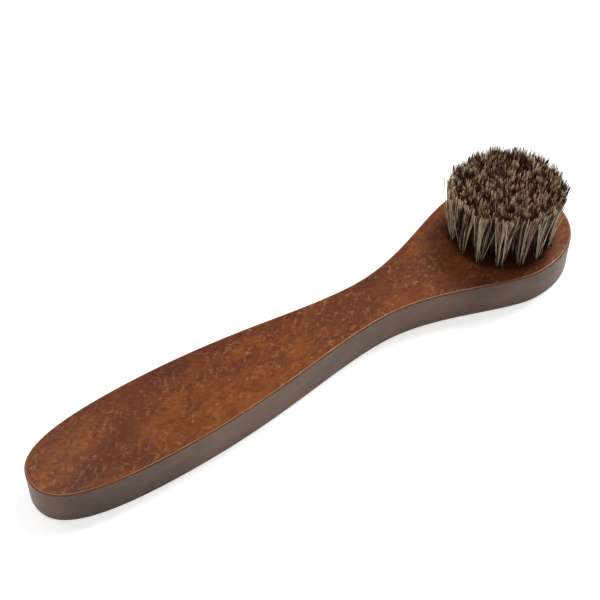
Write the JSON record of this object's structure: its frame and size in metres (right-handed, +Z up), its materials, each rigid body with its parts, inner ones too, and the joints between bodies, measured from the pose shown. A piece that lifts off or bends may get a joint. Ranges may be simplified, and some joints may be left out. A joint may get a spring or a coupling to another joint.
{
  "type": "shoe shine brush",
  "caption": "Dauber-style shoe shine brush: a flat shaped wooden handle with a waisted neck and an egg-shaped head that carries a round crown of upright horsehair tufts.",
  "frame": {"origin": "middle of the handle's length and width, on its flat back face, which lies on the table", "axes": "+X along the handle from the butt to the nose of the head, +Y across it, +Z up out of the face, the way the hair points"},
  "size_m": [0.175, 0.039, 0.031],
  "materials": {
    "stained_wood": "gloss",
    "horsehair": "matte",
    "anchor_wire": "satin"
  },
  "bodies": {
    "root": {"handle": "stained_wood", "wire_anchors": "anchor_wire", "tuft_centre": "horsehair", "tuft_inner_1": "horsehair", "tuft_inner_2": "horsehair", "tuft_inner_3": "horsehair", "tuft_inner_4": "horsehair", "tuft_inner_5": "horsehair", "tuft_middle_1": "horsehair", "tuft_middle_2": "horsehair", "tuft_middle_3": "horsehair", "tuft_middle_4": "horsehair", "tuft_middle_5": "horsehair", "tuft_middle_6": "horsehair", "tuft_middle_7": "horsehair", "tuft_middle_8": "horsehair", "tuft_middle_9": "horsehair", "tuft_middle_10": "horsehair", "tuft_outer_1": "horsehair", "tuft_outer_2": "horsehair", "tuft_outer_3": "horsehair", "tuft_outer_4": "horsehair", "tuft_outer_5": "horsehair", "tuft_outer_6": "horsehair", "tuft_outer_7": "horsehair", "tuft_outer_8": "horsehair", "tuft_outer_9": "horsehair", "tuft_outer_10": "horsehair", "tuft_outer_11": "horsehair", "tuft_outer_12": "horsehair", "tuft_outer_13": "horsehair", "tuft_outer_14": "horsehair", "tuft_outer_15": "horsehair"}
  },
  "joints": []
}
